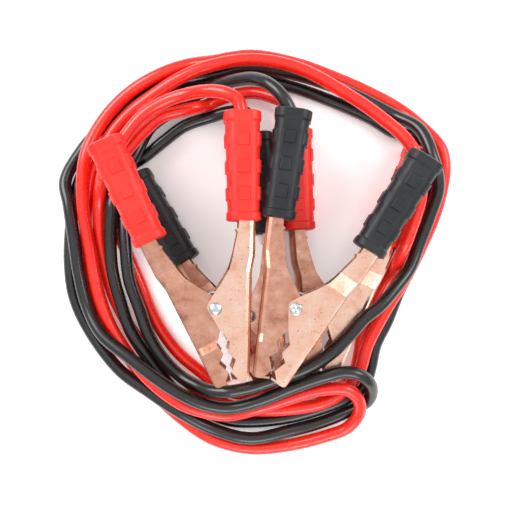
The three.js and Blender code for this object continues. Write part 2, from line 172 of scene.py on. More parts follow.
print("path of three points:", smooth_path([(0, 0, 0), (1, 0, 0), (1, 1, 0)], 0.1).shape)

# %% [markdown]
# ## Cable routes
# Each cable starts inside its front clamp's grip and ends inside its rear clamp's. The points
# between are listed along the coil, and each gives the middle of the cable. Where a
# strand crosses another, its height rises by a cable's width over a few points.

# %% Red route
red_route = [
    (-0.0095, 0.084, 0.045), (-0.0165, 0.0885, 0.044), (-0.0265, 0.0905, 0.04),
    (-0.038, 0.0905, 0.033), (-0.051, 0.087, 0.03), (-0.0635, 0.0795, 0.0295),
    (-0.0745, 0.0665, 0.029), (-0.0795, 0.0575, 0.029), (-0.0865, 0.047, 0.026),
    (-0.0895, 0.0415, 0.02), (-0.092, 0.033, 0.013), (-0.093, 0.0125, 0.007),
    (-0.0905, -0.0055, 0.004), (-0.0855, -0.0235, 0.004), (-0.0755, -0.0425, 0.004),
    (-0.0635, -0.0575, 0.004), (-0.046, -0.0715, 0.004), (-0.0335, -0.081, 0.004),
    (-0.0185, -0.0885, 0.0055), (-0.0005, -0.091, 0.0095), (0.02, -0.09, 0.012),
    (0.039, -0.0865, 0.012), (0.051, -0.08, 0.012), (0.06, -0.0695, 0.012),
    (0.0655, -0.0525, 0.012), (0.0755, -0.033, 0.012), (0.0885, -0.0115, 0.0123),
    (0.0975, 0.0065, 0.012), (0.105, 0.024, 0.012), (0.1095, 0.0405, 0.012),
    (0.1105, 0.0535, 0.013), (0.108, 0.0635, 0.0135), (0.0995, 0.0745, 0.0105),
    (0.0865, 0.0875, 0.004), (0.0655, 0.099, 0.004), (0.0445, 0.108, 0.004),
    (0.025, 0.115, 0.004), (-0.0025, 0.12, 0.004), (-0.0245, 0.117, 0.004),
    (-0.04, 0.1125, 0.012), (-0.056, 0.1065, 0.014), (-0.074, 0.096, 0.013),
    (-0.0895, 0.0795, 0.0135), (-0.099, 0.0585, 0.0165), (-0.1015, 0.0325, 0.0145),
    (-0.098, 0.0065, 0.012), (-0.093, -0.02, 0.012), (-0.0865, -0.039, 0.012),
    (-0.077, -0.055, 0.0125), (-0.0625, -0.0715, 0.017), (-0.044, -0.0855, 0.0175),
    (-0.0295, -0.091, 0.016), (-0.016, -0.093, 0.0145), (-0.0005, -0.089, 0.0175),
    (0.0195, -0.0825, 0.019), (0.032, -0.078, 0.0215), (0.0425, -0.076, 0.0235),
    (0.051, -0.076, 0.024), (0.0575, -0.0805, 0.0215), (0.0605, -0.088, 0.0165),
    (0.059, -0.0955, 0.012), (0.053, -0.1025, 0.0085), (0.043, -0.1065, 0.0075),
    (0.0205, -0.113, 0.0045), (-0.0035, -0.115, 0.004), (-0.026, -0.1095, 0.004),
    (-0.0455, -0.0965, 0.004), (-0.0635, -0.079, 0.004), (-0.0795, -0.0565, 0.004),
    (-0.0915, -0.0395, 0.004), (-0.099, -0.017, 0.004), (-0.1015, 0.0095, 0.004),
    (-0.102, 0.0245, 0.004), (-0.1, 0.036, 0.005), (-0.0975, 0.0475, 0.0082),
    (-0.087, 0.068, 0.013), (-0.075, 0.0825, 0.014), (-0.0615, 0.0925, 0.016),
    (-0.047, 0.1015, 0.018), (-0.0295, 0.109, 0.019), (-0.0025, 0.1135, 0.019),
    (0.024, 0.1085, 0.02), (0.051, 0.094, 0.021), (0.071, 0.0795, 0.024), (0.0865, 0.0635, 0.029),
    (0.093, 0.0485, 0.0295), (0.093, 0.033, 0.0285), (0.089, 0.019, 0.0275),
    (0.085, 0.0075, 0.027), (0.082, -0.0035, 0.0185), (0.0785, -0.014, 0.01),
    (0.074, -0.0245, 0.005), (0.0685, -0.0365, 0.004), (0.0635, -0.049, 0.004),
    (0.061, -0.063, 0.004), (0.057, -0.0745, 0.004), (0.045, -0.08, 0.004),
    (0.0265, -0.082, 0.004), (0.0115, -0.0815, 0.004), (-0.001, -0.0835, 0.004),
    (-0.019, -0.08, 0.004), (-0.0335, -0.069, 0.004), (-0.045, -0.0595, 0.004),
    (-0.0545, -0.048, 0.004), (-0.0625, -0.034, 0.004), (-0.069, -0.0175, 0.004),
    (-0.078, 0.0035, 0.004), (-0.0855, 0.0215, 0.004), (-0.0915, 0.035, 0.004),
    (-0.0905, 0.044, 0.0086), (-0.088, 0.05, 0.0153), (-0.079, 0.0555, 0.0205),
    (-0.072, 0.0635, 0.0205), (-0.064, 0.0725, 0.02), (-0.0545, 0.0805, 0.0195),
    (-0.041, 0.0845, 0.018), (-0.0345, 0.0865, 0.0155), (-0.0285, 0.0895, 0.009),
    (-0.0215, 0.093, 0.0075), (-0.0035, 0.0975, 0.005), (0.0095, 0.094, 0.009),
    (0.019, 0.088, 0.012),
]
print("red points", len(red_route))

# %% Black route
black_route = [
    (0.0145, 0.0855, 0.047), (0.0075, 0.093, 0.044), (-0.0005, 0.098, 0.037),
    (-0.01, 0.0995, 0.029), (-0.021, 0.099, 0.02), (-0.0285, 0.0965, 0.016),
    (-0.0345, 0.095, 0.0125), (-0.041, 0.0905, 0.006), (-0.054, 0.084, 0.0045),
    (-0.063, 0.0765, 0.006), (-0.069, 0.0645, 0.01), (-0.0725, 0.0575, 0.0115),
    (-0.077, 0.051, 0.012), (-0.082, 0.046, 0.0117), (-0.0835, 0.039, 0.0122),
    (-0.084, 0.03, 0.015), (-0.085, 0.021, 0.014), (-0.0855, 0.0125, 0.013),
    (-0.0845, -0.008, 0.012), (-0.08, -0.026, 0.012), (-0.074, -0.0435, 0.012),
    (-0.066, -0.0565, 0.012), (-0.0565, -0.07, 0.0105), (-0.0435, -0.0855, 0.0045),
    (-0.0305, -0.093, 0.004), (-0.0155, -0.0985, 0.004), (0.002, -0.099, 0.004),
    (0.0205, -0.0965, 0.004), (0.0385, -0.0915, 0.004), (0.054, -0.0855, 0.004),
    (0.0645, -0.0785, 0.004), (0.0685, -0.067, 0.004), (0.0715, -0.0535, 0.004),
    (0.0785, -0.039, 0.004), (0.0855, -0.0215, 0.004), (0.094, -0.005, 0.004),
    (0.1005, 0.0095, 0.004), (0.1035, 0.0265, 0.004), (0.106, 0.0385, 0.004),
    (0.111, 0.049, 0.004), (0.111, 0.057, 0.004), (0.105, 0.066, 0.004), (0.0945, 0.0715, 0.004),
    (0.082, 0.0745, 0.004), (0.0685, 0.0825, 0.004), (0.0445, 0.093, 0.004),
    (0.0205, 0.1015, 0.004), (-0.0035, 0.1065, 0.004), (-0.0275, 0.102, 0.004),
    (-0.0515, 0.0955, 0.004), (-0.0685, 0.0855, 0.004), (-0.0845, 0.0725, 0.004),
    (-0.0985, 0.0575, 0.004), (-0.1065, 0.043, 0.004), (-0.1095, 0.0305, 0.004),
    (-0.111, 0.0145, 0.004), (-0.1115, -0.0035, 0.004), (-0.109, -0.0235, 0.004),
    (-0.1005, -0.0425, 0.005), (-0.081, -0.067, 0.0095), (-0.0625, -0.08, 0.012),
    (-0.0445, -0.092, 0.0117), (-0.0255, -0.1025, 0.009), (-0.0035, -0.108, 0.009),
    (0.0205, -0.104, 0.0065), (0.0395, -0.0995, 0.0042), (0.0535, -0.094, 0.0045),
    (0.062, -0.0895, 0.0065), (0.0665, -0.0845, 0.011), (0.067, -0.0775, 0.018),
    (0.064, -0.0715, 0.0245), (0.058, -0.067, 0.0285), (0.05, -0.0655, 0.0295),
    (0.039, -0.068, 0.0295), (0.0195, -0.0755, 0.0255), (0.0025, -0.0825, 0.0245),
    (-0.0155, -0.087, 0.0225), (-0.029, -0.085, 0.0235), (-0.0435, -0.0785, 0.0245),
    (-0.0575, -0.0695, 0.0245), (-0.0725, -0.0585, 0.022), (-0.0895, -0.0455, 0.0175),
    (-0.099, -0.0295, 0.013), (-0.104, -0.011, 0.012), (-0.107, 0.0095, 0.012),
    (-0.11, 0.03, 0.012), (-0.113, 0.0445, 0.0085), (-0.1045, 0.063, 0.004),
    (-0.091, 0.0785, 0.004), (-0.0755, 0.0915, 0.004), (-0.057, 0.1005, 0.008),
    (-0.041, 0.1045, 0.0097), (-0.024, 0.107, 0.0103), (-0.0035, 0.1115, 0.011),
    (0.026, 0.106, 0.012), (0.0525, 0.097, 0.012), (0.0805, 0.083, 0.012), (0.094, 0.073, 0.021),
    (0.1005, 0.0555, 0.0265), (0.104, 0.0395, 0.0245), (0.1, 0.0235, 0.0215),
    (0.094, 0.0065, 0.0195), (0.0885, -0.007, 0.021), (0.0785, -0.0195, 0.025),
    (0.07, -0.0285, 0.0275), (0.061, -0.0355, 0.0287), (0.054, -0.0435, 0.029),
    (0.0445, -0.053, 0.0293), (0.035, -0.06, 0.029), (0.025, -0.065, 0.0285),
    (0.0105, -0.07, 0.0283), (-0.0035, -0.0745, 0.0283), (-0.0145, -0.0765, 0.0283),
    (-0.0245, -0.077, 0.025), (-0.034, -0.075, 0.019), (-0.0445, -0.07, 0.014),
    (-0.0545, -0.06, 0.0135), (-0.0625, -0.047, 0.013), (-0.0685, -0.031, 0.012),
    (-0.0745, -0.014, 0.012), (-0.077, 0.0095, 0.012), (-0.0785, 0.024, 0.01),
    (-0.084, 0.0385, 0.0042), (-0.0825, 0.046, 0.004), (-0.078, 0.052, 0.004),
    (-0.066, 0.06, 0.004), (-0.0555, 0.0685, 0.004), (-0.0425, 0.078, 0.004),
    (-0.0275, 0.083, 0.0045), (-0.0155, 0.0855, 0.008), (-0.006, 0.0845, 0.011),
]
print("black points", len(black_route))

# %% [markdown]
# The two points inside each grip lie on its middle line, so the cable leaves it straight. No
# point of a path is nearer to the ground than the cable's radius.

# %% Whole paths
cable_radius = 0.0037
cable_step = 0.0012
ground_clearance = 0.00002
front_red_exit = [(-0.015583, 0.060967, 0.045247), (-0.015713, 0.070966, 0.045322)]
front_black_exit = [(0.010186, 0.061935, 0.046009), (0.011614, 0.071833, 0.046089)]
rear_black_exit = [(-0.008307, 0.064983, 0.010812), (-0.007037, 0.055065, 0.010959)]
rear_red_exit = [(0.014923, 0.067173, 0.010844), (0.015342, 0.057184, 0.011049)]


def whole_path(route, first, last):
    """The route between its two grips, kept a cable's radius above the ground."""
    middle = np.array(route) + layout_shift
    path = smooth_path(np.concatenate([first, middle, last]), cable_step)
    path[:, 2] = np.maximum(path[:, 2], cable_radius + ground_clearance)
    return path


def path_length(path):
    """The sum of the distances between neighbouring points."""
    return float(np.linalg.norm(np.diff(path, axis=0), axis=1).sum())


red_path = whole_path(red_route, front_red_exit, rear_red_exit)
black_path = whole_path(black_route, front_black_exit, rear_black_exit)
print("red", round(path_length(red_path), 3), "black", round(path_length(black_path), 3))

# %% [markdown]
# ## Finishes
# Every finish is made of nodes and read in object coordinates, so that its pattern stays on the
# piece when a clamp opens. The scale of a noise is in waves to a metre. Colours come from a ramp
# over that noise, because moulded and plated surfaces are never quite even.

# %% Finish and noise
def new_finish(name, **sockets):
    """A material whose shader takes the named values on its own sockets."""
    finish = bpy.data.materials.new(name)
    finish.use_nodes = True
    nodes = finish.node_tree.nodes
    shader = nodes["Principled BSDF"]
    for socket, value in sockets.items():
        shader.inputs[socket.replace("_", " ")].default_value = value
    coordinates = nodes.new("ShaderNodeTexCoord")
    return finish, shader, coordinates.outputs["Object"]


def noise(finish, where, scale, detail=4.0, stretch=(1, 1, 1), roughness=0.5):
    """Noise over object coordinates that are first stretched along the axes."""
    nodes, links = finish.node_tree.nodes, finish.node_tree.links
    mapping = nodes.new("ShaderNodeMapping")
    mapping.inputs["Scale"].default_value = stretch
    links.new(where, mapping.inputs["Vector"])
    texture = nodes.new("ShaderNodeTexNoise")
    texture.inputs["Scale"].default_value = scale
    texture.inputs["Detail"].default_value = detail
    texture.inputs["Roughness"].default_value = roughness
    links.new(mapping.outputs["Vector"], texture.inputs["Vector"])
    return texture.outputs["Fac"]


print("noise ready")

# %% [markdown]
# Noise stays mostly between 0.3 and 0.7. The next helpers spread that range over colours, over
# values such as roughness, and over a small relief.

# %% Ramp, range and relief
def ramp(finish, source, stops):
    """A colour ramp through (place, colour) stops."""
    nodes, links = finish.node_tree.nodes, finish.node_tree.links
    colours = nodes.new("ShaderNodeValToRGB")
    elements = colours.color_ramp.elements
    while len(elements) < len(stops):
        elements.new(0.5)
    for element, (place, colour) in zip(elements, stops):
        element.position = place
        element.color = (*colour, 1)
    links.new(source, colours.inputs["Fac"])
    return colours.outputs["Color"]


def grey_range(finish, source, low, high):
    """The source's middle range spread from one value to another."""
    nodes, links = finish.node_tree.nodes, finish.node_tree.links
    spread = nodes.new("ShaderNodeMapRange")
    spread.inputs["From Min"].default_value = 0.3
    spread.inputs["From Max"].default_value = 0.7
    spread.inputs["To Min"].default_value = low
    spread.inputs["To Max"].default_value = high
    links.new(source, spread.inputs["Value"])
    return spread.outputs["Result"]


def relief(finish, shader, source, strength, height, before=None):
    """A bump of a height in metres, laid over an earlier one where there is one."""
    nodes, links = finish.node_tree.nodes, finish.node_tree.links
    bump = nodes.new("ShaderNodeBump")
    bump.inputs["Strength"].default_value = strength
    bump.inputs["Distance"].default_value = height
    links.new(source, bump.inputs["Height"])
    if before is not None:
        links.new(before, bump.inputs["Normal"])
    links.new(bump.outputs["Normal"], shader.inputs["Normal"])
    return bump.outputs["Normal"]


print("relief ready")

# %% [markdown]
# The grips are satin moulded plastic. The mould was spark-eroded, which leaves a fine grain, and
# the plastic shows faint flow marks. Large noise gives the flow marks and tiny noise the grain.

# %% Grip plastic
def grip_plastic(name, deep, plain, bright):
    """Satin plastic whose three tones run from its flow marks to its clear stretches."""
    finish, shader, where = new_finish(name, IOR=1.42)
    links = finish.node_tree.links
    flow = noise(finish, where, 45, 3)
    tone = ramp(finish, flow, [(0.3, deep), (0.5, plain), (0.72, bright)])
    links.new(tone, shader.inputs["Base Color"])
    wear = noise(finish, where, 260, 5)
    links.new(grey_range(finish, wear, 0.36, 0.52), shader.inputs["Roughness"])
    grain = noise(finish, where, 5200, 2)
    soft = relief(finish, shader, flow, 0.12, 0.0006)
    relief(finish, shader, grain, 0.16, 0.00006, soft)
    return finish


red_plastic = grip_plastic(
    "red_grip_plastic", (0.8, 0.018, 0.012), (0.9, 0.024, 0.016), (0.96, 0.034, 0.022))
black_plastic = grip_plastic(
    "black_grip_plastic", (0.008, 0.009, 0.011), (0.012, 0.0135, 0.016), (0.02, 0.022, 0.025))
print("plastics", red_plastic.name, black_plastic.name)

# %% [markdown]
# The cable jackets are glossy soft plastic, slightly wavy from the strands inside. A thin coat
# over the plain surface gives the sharp streak of light that runs along each strand.

# %% Cable jackets
def jacket(name, deep, plain, bright):
    """Glossy jacket whose three tones run from its scuffs to its clear stretches."""
    finish, shader, where = new_finish(name, IOR=1.52, Coat_Weight=0.35, Coat_Roughness=0.16)
    links = finish.node_tree.links
    tone = ramp(finish, noise(finish, where, 60, 3), [(0.3, deep), (0.5, plain), (0.72, bright)])
    links.new(tone, shader.inputs["Base Color"])
    scuff = noise(finish, where, 420, 5)
    links.new(grey_range(finish, scuff, 0.25, 0.33), shader.inputs["Roughness"])
    waves = noise(finish, where, 120, 1)
    relief(finish, shader, waves, 0.15, 0.0006)
    return finish


red_jacket = jacket("red_jacket", (0.78, 0.009, 0.003), (0.9, 0.013, 0.004), (0.97, 0.02, 0.006))
black_jacket = jacket(
    "black_jacket", (0.004, 0.004, 0.0045), (0.006, 0.006, 0.0068), (0.01, 0.01, 0.0115))
print("jackets", red_jacket.name, black_jacket.name)

# %% [markdown]
# The arms are pressed steel under a thin copper plate: scratched along the sheet, mottled where
# the plate is thin, and with small dark specks. The lower arm of each clamp gets a darker copy as
# painted shade.
# One noise drives colour and roughness together, so that the dull spots are also the rougher
# ones. The scratches are a noise that is squeezed along one axis more than along the others.

# %% Copper plate
def copper_plate(name, tones, rough, smooth):
    """Plate whose four tones run from its dull spots to its bright ones."""
    finish, shader, where = new_finish(name, Metallic=1.0)
    nodes, links = finish.node_tree.nodes, finish.node_tree.links
    mottle = noise(finish, where, 130, 6, roughness=0.6)
    tone = ramp(finish, mottle, list(zip((0.3, 0.44, 0.58, 0.75), tones)))
    specks = noise(finish, where, 900, 3, roughness=0.7)
    dark = ramp(finish, specks, [(0.3, (0.25, 0.1, 0.06)), (0.38, (1, 1, 1))])
    mix = nodes.new("ShaderNodeMix")
    mix.data_type = "RGBA"
    mix.blend_type = "MULTIPLY"
    mix.inputs["Factor"].default_value = 0.8
    links.new(tone, mix.inputs["A"])
    links.new(dark, mix.inputs["B"])
    links.new(mix.outputs["Result"], shader.inputs["Base Color"])
    links.new(grey_range(finish, mottle, rough, smooth), shader.inputs["Roughness"])
    scratches = noise(finish, where, 500, 3, stretch=(6, 1, 3))
    first = relief(finish, shader, scratches, 0.1, 0.00008)
    relief(finish, shader, mottle, 0.06, 0.0002, first)
    return finish


bright_copper = copper_plate(
    "bright_copper",
    [(0.78, 0.4, 0.28), (0.9, 0.55, 0.42), (0.94, 0.62, 0.49), (0.97, 0.74, 0.63)],
    0.34, 0.2,
)
# painted shade: a darker copy of the copper plate, for the arm that lies underneath in each clamp
shaded_copper = copper_plate(
    "shaded_copper",
    [(0.4, 0.17, 0.11), (0.6, 0.29, 0.2), (0.7, 0.37, 0.27), (0.84, 0.5, 0.39)],
    0.4, 0.24,
)
print("copper", bright_copper.name, shaded_copper.name)

# %% [markdown]
# Rivets and springs are zinc-plated: a cool bright metal with a faint cloudy bloom. One noise
# drives colour and roughness together, because the pale bloom is also the rougher part.

# %% Zinc plate
def zinc_plate():
    """Bright plate with a bloom in three tones."""
    finish, shader, where = new_finish("zinc_plate", Metallic=1.0)
    links = finish.node_tree.links
    bloom = noise(finish, where, 300, 5)
    tones = [(0.3, (0.42, 0.45, 0.5)), (0.55, (0.66, 0.7, 0.76)), (0.75, (0.8, 0.83, 0.88))]
    links.new(ramp(finish, bloom, tones), shader.inputs["Base Color"])
    links.new(grey_range(finish, bloom, 0.2, 0.36), shader.inputs["Roughness"])
    relief(finish, shader, noise(finish, where, 1400, 3), 0.15, 0.00008)
    return finish


zinc = zinc_plate()
print("zinc", zinc.name)

# %% [markdown]
# ## Cables
# Each cable is one round tube along its path. A mesh tube is used rather than a curve, because
# the paths are already evenly spaced and a mesh keeps its skin as it is built.

# %% Cables in place
cable_sides, centreline_every = 24, 6


def lay_cable(name, path, finish, packed_node):
    """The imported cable's place, as a tube of 24 sides with a ring each 1.2 mm."""
    obj = link_mesh(name, *ring_skin(tube_rings(path, cable_radius, cable_sides)), finish, 60)
    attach(obj, "root")
    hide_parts(packed_node)
    print(name, "faces", len(obj.data.polygons))


lay_cable("red_cable_jacket", red_path, red_jacket, "red_cable")
lay_cable("black_cable_jacket", black_path, black_jacket, "black_cable")

# %% [markdown]
# ## Clamp places
# A clamp's own frame has the rivet along z and the handles along +y. It leans, pitches and
# rolls in that order, and a turned clamp lies on its other side. Its two arms are the same
# pressing: the free arm is the cable arm turned over. Their sizes are in millimetres.

# %% Clamp frames
clamp_places = {
    "front_red": ((-22.2, -27.7, 46.0), 12.7, 1.5, 5.0, False),
    "front_black": ((21.5, -27.9, 46.0), -20.2, 1.0, -2.5, True),
    "rear_black": ((-3.3, -34.7, 12.2), 19.3, -0.85944, 0.0, False),
    "rear_red": ((43.5, -30.5, 12.8), -9.6, -1.20338, 0.0, True),
}
arm_spread = math.radians(14)


def clamp_matrix(name):
    """Rz(lean) Rx(pitch) Ry(roll) at the pivot, then a half turn about y for a turned clamp."""
    place, lean, pitch, roll, turned = clamp_places[name]
    turn = Matrix.Rotation(math.radians(lean), 4, "Z")
    turn = turn @ Matrix.Rotation(math.radians(pitch), 4, "X")
    turn = turn @ Matrix.Rotation(math.radians(roll), 4, "Y")
    if turned:
        turn = turn @ Matrix.Rotation(math.pi, 4, "Y")
    return Matrix.Translation(Vector(place) / 1000 + Vector(layout_shift)) @ turn


def arm_matrix(name, side):
    """The cable arm turns by minus the spread; the free arm is the same one turned over."""
    if side == "cable":
        return clamp_matrix(name) @ Matrix.Rotation(-arm_spread, 4, "Z")
    turned_over = Matrix.Rotation(arm_spread, 4, "Z") @ Matrix.Rotation(math.pi, 4, "Y")
    return clamp_matrix(name) @ turned_over


def to_world(matrix, points):
    """Points in millimetres, in a clamp's or an arm's frame, to metres in the part's frame."""
    m = np.array(matrix)
    return np.asarray(points, float) / 1000 @ m[:3, :3].T + m[:3, 3]


print("clamps", ", ".join(clamp_places))

# %% [markdown]
# ## Moulded grips
# A grip is a soft sleeve pushed over the steel handle. Its section is a rounded rectangle that
# widens a little towards the top. Walking round it, the point is on a core that follows an inner
# rectangle, plus the corner radius in a direction that turns only at the corners.

# %% Grip section
grip_start, grip_length, grip_offset, grip_turn = 46.8, 59.0, 14.5, math.radians(2)
mouth_half, top_half, half_thick, corner = 8.4, 9.3, 9.9, 5.5
side_length, arc_length = 2 * (half_thick - corner), math.pi * corner / 2


def grip_section(half_wide, share):
    """Points and outward normals at a share of the way round: core + r (cos a, sin a)."""
    face_length = 2 * (half_wide - corner)
    half_way = side_length + face_length + 2 * arc_length
    way = share * 2 * half_way
    sign = np.where(way < half_way, 1.0, -1.0)[..., None]
    way = way % half_way
    past_face = way - side_length - arc_length
    angle = np.clip((way - side_length) / corner, 0, np.pi / 2)
    angle = angle + np.clip((past_face - face_length) / corner, 0, np.pi / 2)
    core_x = face_length / 2 - np.clip(past_face, 0, face_length)
    core_y = np.clip(way, 0, side_length) - side_length / 2
    normal = np.stack([np.cos(angle), np.sin(angle)], -1)
    return sign * (np.stack([core_x, core_y], -1) + corner * normal), sign * normal


def grip_point(across, along, through):
    """u = offset + a cos(t) - s sin(t), v = start + a sin(t) + s cos(t), w = through."""
    u = grip_offset + across * math.cos(grip_turn) - along * math.sin(grip_turn)
    v = grip_start + across * math.sin(grip_turn) + along * math.cos(grip_turn)
    return np.stack([u, v, through], -1)


print("side", round(side_length, 2), "mm, corner", round(arc_length, 2), "mm")

# %% [markdown]
# Rims at both ends and three rows of raised square pads give the hand a hold. There are six
# pads to a row, one in the middle of each flat face. Rims and pads are the section moved out
# along its normals by smooth steps, so the whole sleeve stays one skin.

# %% Rims and pads
rim_proud, mouth_rim, top_rim, rim_edge, rim_overlap = 0.8, 5.0, 6.0, 0.9, 0.1
pad_rows, pads_around, pad_pitch = 3, 6, 14.4
pad_length, pad_width, pad_bevel = 7.4, 6.8, 0.5


def plateau(distance, half, bevel):
    """1 within half - bevel of the middle, 0 beyond half, and a smooth slope between."""
    t = np.clip((half - np.abs(distance)) / bevel, 0, 1)
    return t * t * (3 - 2 * t)


def grip_rings(sides=188, steps=164):
    """Section points + normals (rims and pads - rounded ends), over station s and share."""
    s = np.linspace(0, grip_length, steps)[:, None]
    share = ((np.arange(sides) + 0.5) / sides)[None, :]
    half_wide = mouth_half + (top_half - mouth_half) * s / grip_length
    points, normals = grip_section(half_wide, share)
    face_length = 2 * (half_wide - corner)
    around = 2 * (side_length + face_length + 2 * arc_length)
    face_middle = (side_length + arc_length + face_length / 2) / around
    column = ((share - face_middle) * pads_around + 0.5) % 1 - 0.5
    barrel_middle = (mouth_rim + grip_length - top_rim) / 2
    rows = barrel_middle + (np.arange(pad_rows) - (pad_rows - 1) / 2) * pad_pitch
    pads = sum(plateau(s - row, pad_length / 2, pad_bevel) for row in rows)
    pads = pads * plateau(column * around / pads_around, pad_width / 2, pad_bevel)
    mouth = plateau(s - mouth_rim / 2, mouth_rim / 2 + rim_overlap, rim_edge)
    top = plateau(s - grip_length + top_rim / 2, top_rim / 2 + rim_overlap, rim_edge)
    proud = rim_proud * np.maximum(pads, np.maximum(mouth, top))
    to_end = np.minimum(s, grip_length - s)
    proud = proud - rim_edge * np.maximum(0.0, 1 - to_end / rim_edge) ** 2
    outline = points + normals * proud[..., None]
    return grip_point(outline[..., 0], s + 0 * share, outline[..., 1])


grip_shape = grip_rings()
print("grip rings", grip_shape.shape)

# %% [markdown]
# The steel handle fills a pocket inside the sleeve, 0.3 mm clear all round. The pocket is the
# bent sheet's outside at three stations, and tapers as the handle does.

# %% Pocket for the handle
pocket_clear, web_at_mouth, web_at_end = 0.3, 20.75, 20.2
handle_half, handle_edge, handle_bend, handle_end = 8.0, 11.5, 3.2, 88.0
pocket_lead = 4.0


def pocket_rings():
    """The channel's outside at each station v: two corners of radius r and an open edge."""
    slope = (web_at_end - web_at_mouth) / (handle_end - grip_start)
    v = np.array([grip_start - pocket_lead, grip_start, handle_end + pocket_clear])
    web = web_at_mouth + slope * (v - grip_start) + pocket_clear
    high, edge = handle_half + pocket_clear, handle_edge - pocket_clear
    r = handle_bend + pocket_clear
    turn = np.radians(np.linspace(-90, 0, 7))
    corner_u = np.concatenate([r * np.cos(turn), r * np.cos(turn[::-1])]) - r
    corner_w = np.concatenate([r * np.sin(turn) + r - high, high - r - r * np.sin(turn[::-1])])
    bend_u = web[:, None] + corner_u[None, :]
    open_u = np.full((3, 1), edge)
    u = np.concatenate([open_u, bend_u, open_u], axis=1)
    w = np.concatenate([[-high], corner_w, [high]])[None, :] + 0 * u
    return np.stack([u, v[:, None] + 0 * u, w], -1)[:, ::-1]


print("pocket rings", pocket_rings().shape)

# %% [markdown]
# The grip of a cable arm is bored for its cable, 0.3 mm clear. Both cavities are taken out of
# the sleeve as solids, and the cut mesh replaces the first one so that no modifier stays on it.

# %% Cutting the cavities
bore_radius, bore_rings, bore_sides, bore_lead = 0.004, 38, 24, 1.6


def cut_out(obj, tools):
    """Takes each tool's solid out of the object, and removes the tool."""
    for tool in tools:
        cut = obj.modifiers.new("cut", "BOOLEAN")
        cut.operation = "DIFFERENCE"
        cut.solver = "EXACT"
        cut.object = tool
        evaluated = obj.evaluated_get(bpy.context.evaluated_depsgraph_get())
        mesh = bpy.data.meshes.new_from_object(evaluated)
        obj.modifiers.clear()
        obj.data = mesh
        bpy.data.objects.remove(tool)
    obj.data.shade_smooth()
    obj.data.set_sharp_from_angle(angle=math.radians(42))


def bore_tool(path, from_start):
    """A tube along the cable's first or last 45 mm, led 6 mm further into the grip."""
    part = path[:bore_rings] if from_start else path[::-1][:bore_rings]
    lead = part[0] + (part[0] - part[3]) * bore_lead
    route = np.concatenate([[lead], part[1:]])
    return link_mesh("bore_tool", *ring_skin(tube_rings(route, bore_radius, bore_sides)), zinc)


print("bore", 2000 * bore_radius, "mm across")

# %% [markdown]
# Front clamps hold the start of their cable, rear clamps hold its end. A cable arm's grip stays
# with the coil, and a free arm's grip moves with its handle.

# %% Grips in place
def mould_grip(name, side, finish, path=None, from_start=True):
    """One grip in place, cut for its handle and its cable."""
    matrix = arm_matrix(name, side)
    rings = to_world(matrix, grip_shape)
    obj = link_mesh(f"{name}_{side}_grip_moulding", *ring_skin(rings[:, ::-1]), finish)
    pocket = to_world(matrix, pocket_rings())
    tools = [link_mesh("pocket_tool", *ring_skin(pocket), zinc)]
    if path is not None:
        tools.append(bore_tool(path, from_start))
    cut_out(obj, tools)
    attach(obj, "root" if side == "cable" else f"{name}_handle")
    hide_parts(f"{name}_{side}_grip")
    return obj


for clamp in clamp_places:
    is_red = clamp.endswith("red")
    plastic = red_plastic if is_red else black_plastic
    own_path = red_path if is_red else black_path
    mould_grip(clamp, "cable", plastic, own_path, clamp.startswith("front"))
    free_grip = mould_grip(clamp, "free", plastic)
    print(clamp, "free grip faces", len(free_grip.data.polygons))

# %% [markdown]
# ## Rivets
# A rivet has a domed head at one end and a rolled lip with a dimple at the other, where the
# press closed it. It is a turned part, so it is made as a profile swept round its axis.

# %% Rivets
rivet_sides = 64
shank_radius, plate_level = 2.4, 11.3
head_radius, head_height = 3.4, 1.5
lip_middle, lip_width, lip_height = 2.3, 0.9, 0.45


def rivet_profile():
    """(radius, level) in millimetres: dimple, lip and dome as arcs, with the shank between."""
    lip_turn = np.linspace(0, np.pi / 2, 6)
    dome_turn = np.linspace(0, np.pi / 2 - 0.02, 12)
    dimple = [(0.02, -11.5), (0.8, -11.55), (1.3, -11.9), (1.6, -12.2)]
    lip_radius = lip_middle + lip_width * np.sin(lip_turn)
    lip_level = -plate_level - lip_height * (1 + np.cos(lip_turn))
    lip = np.stack([lip_radius, lip_level], -1)
    under_lip = (lip_middle + lip_width, -plate_level)
    shank = [under_lip, (shank_radius, -plate_level), (shank_radius, plate_level)]
    dome_level = plate_level + head_height * np.sin(dome_turn)
    dome = np.stack([head_radius * np.cos(dome_turn), dome_level], -1)
    return np.concatenate([dimple, lip, shank, dome])


def rivet(name):
    """Rings (r cos t, r sin t, z) up the profile, in the clamp's frame."""
    radius, level = rivet_profile().T[:, :, None]
    turn = (np.arange(rivet_sides) * 2 * np.pi / rivet_sides)[None, :]
    rings = np.stack([radius * np.cos(turn), radius * np.sin(turn), level + 0 * turn], -1)
    skin = ring_skin(to_world(clamp_matrix(name), rings))
    obj = link_mesh(f"{name}_rivet_turned", *skin, zinc, 50)
    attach(obj, "root")
    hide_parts(f"{name}_rivet")
    return obj


for clamp in clamp_places:
    print(clamp, "rivet faces", len(rivet(clamp).data.polygons))

# %% [markdown]
# ## Torsion springs
# The wire runs from one web along a straight leg, round the rivet, and out along the other leg.

# %% Springs
spring_wire, spring_radius, spring_turns, spring_pitch = 1.6, 8.0, 3, 2.1
jaw_web, sheet, leg_gap, leg_reach = 19.0, 1.1, 0.3, 23.0


